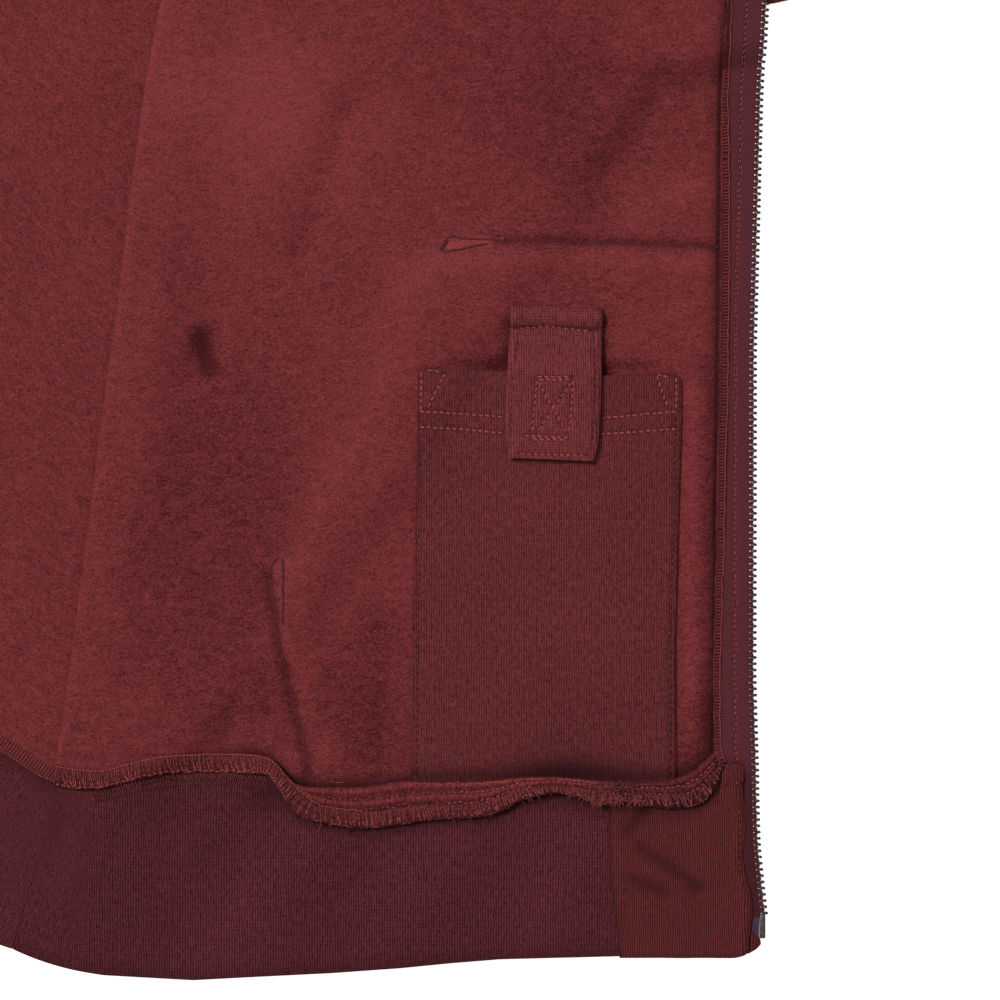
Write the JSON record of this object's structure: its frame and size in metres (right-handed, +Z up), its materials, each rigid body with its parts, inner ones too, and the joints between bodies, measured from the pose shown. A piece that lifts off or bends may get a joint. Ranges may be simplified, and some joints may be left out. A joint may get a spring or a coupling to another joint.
{
  "type": "zip up hoodie",
  "caption": "Zip-up fleece hoodie lying flat with its left front turned open: brushed inside, inner pocket with tab, rib hem and metal zip.",
  "frame": {"origin": "on the flat underside of the back panel, on the centre back line, 0.300 m above the hem's free edge", "axes": "+Z up out of the surface it lies on, +Y along the centre back towards the hood, +X towards the wearer's left"},
  "size_m": [1.5196, 0.986, 0.0113],
  "materials": {
    "fleece": "brushed fleece, soft nap",
    "face_knit": "plain jersey face, matte",
    "rib": "fine 1x1 rib, matte",
    "hem_knit": "fine plain knit, matte",
    "pocket_knit": "fine plain knit, matte",
    "tape": "herringbone woven tape",
    "zip_metal": "dark gunmetal plating"
  },
  "bodies": {
    "garment": {"back": "fleece", "front_right": "face_knit", "front_left": "fleece", "sleeve_right": "face_knit", "sleeve_left": "face_knit", "cuff_right": "rib", "cuff_left": "rib", "hem_rib_back": "rib", "hem_rib_left": "rib", "hem_rib_right": "rib", "hem_end_left": "hem_knit", "hem_end_right": "hem_knit", "hem_seam_allowance": "fleece", "hood_right": "face_knit", "hood_left": "face_knit", "kangaroo_pocket_right": "face_knit", "kangaroo_pocket_left": "face_knit", "phone_pocket": "pocket_knit", "phone_pocket_tab": "pocket_knit", "zip_tape_right": "tape", "zip_tape_left": "tape", "zip_pin": "zip_metal", "zip_box": "zip_metal", "zip_slider": "zip_metal"},
    "pull_tab": {"pull_tab": "zip_metal"}
  },
  "joints": [
    {"name": "pull_tab_hinge", "type": "hinge", "parent": "garment", "child": "pull_tab", "pos_m": [0.0036, -0.2765, 0.0088], "axis": [-1, 0, 0], "range_deg": [0, 150]}
  ]
}
